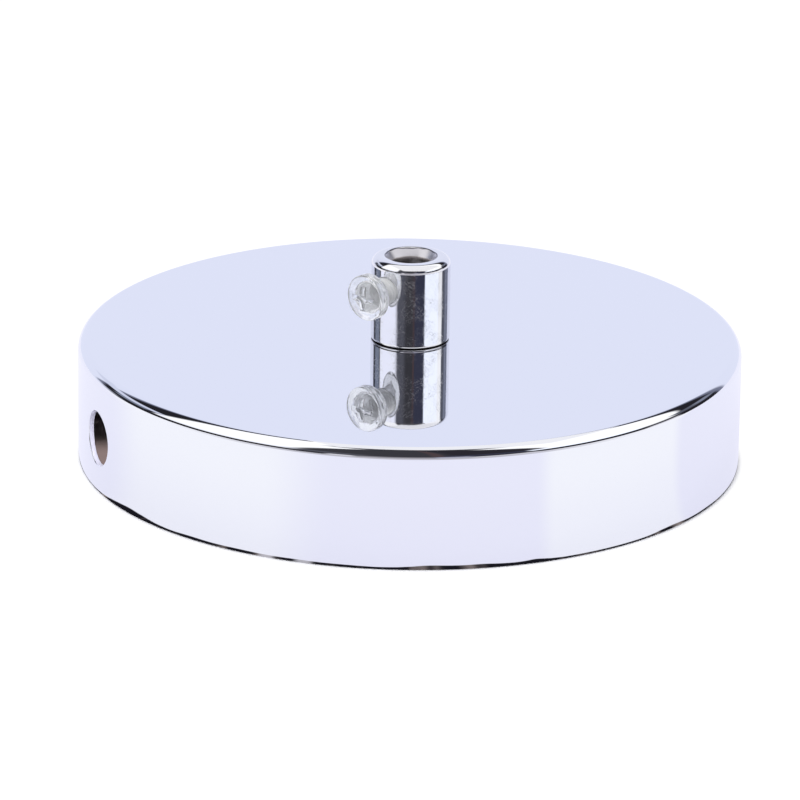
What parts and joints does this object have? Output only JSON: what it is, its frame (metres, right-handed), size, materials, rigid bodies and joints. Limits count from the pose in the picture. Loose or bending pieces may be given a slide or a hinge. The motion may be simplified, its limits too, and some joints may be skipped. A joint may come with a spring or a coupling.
{
  "type": "light fixture ceiling canopy",
  "caption": "Round drawn sheet ceiling canopy with a side cable hole, a turned cord grip with a clamping screw, and its mounting strap.",
  "frame": {"origin": "middle of the canopy's rim circle, in the plane of the ceiling, where the canopy also stands", "axes": "+Z away from the ceiling along the cord bore, -X out of the side cable hole, Y along the mounting strap"},
  "size_m": [0.12, 0.12, 0.0378],
  "materials": {
    "chrome_sheet": "bright chrome plating on drawn steel",
    "chrome_turned": "bright chrome plating on turned steel",
    "clear_plastic": "clear moulded plastic",
    "zinc_steel": "bright zinc plating",
    "zinc_strip": "zinc plated strip",
    "brass": "plain brass"
  },
  "bodies": {
    "canopy_body": {"canopy": "chrome_sheet", "cord_grip": "chrome_turned", "nipple": "zinc_steel", "canopy_washer": "zinc_steel", "canopy_lock_washer": "zinc_steel", "canopy_nut": "zinc_steel", "mounting_strap": "zinc_strip", "strap_lock_washer": "zinc_steel", "strap_nut": "zinc_steel", "earth_screw": "brass", "earth_cup_washer": "brass", "earth_lock_washer": "zinc_steel"},
    "screw_body": {"grip_screw": "clear_plastic"}
  },
  "joints": [
    {"name": "grip_screw_travel", "type": "slide", "parent": "canopy_body", "child": "screw_body", "axis": [0.887, 0.4617, 0], "range_m": [-0.0022, 0.0036]}
  ]
}
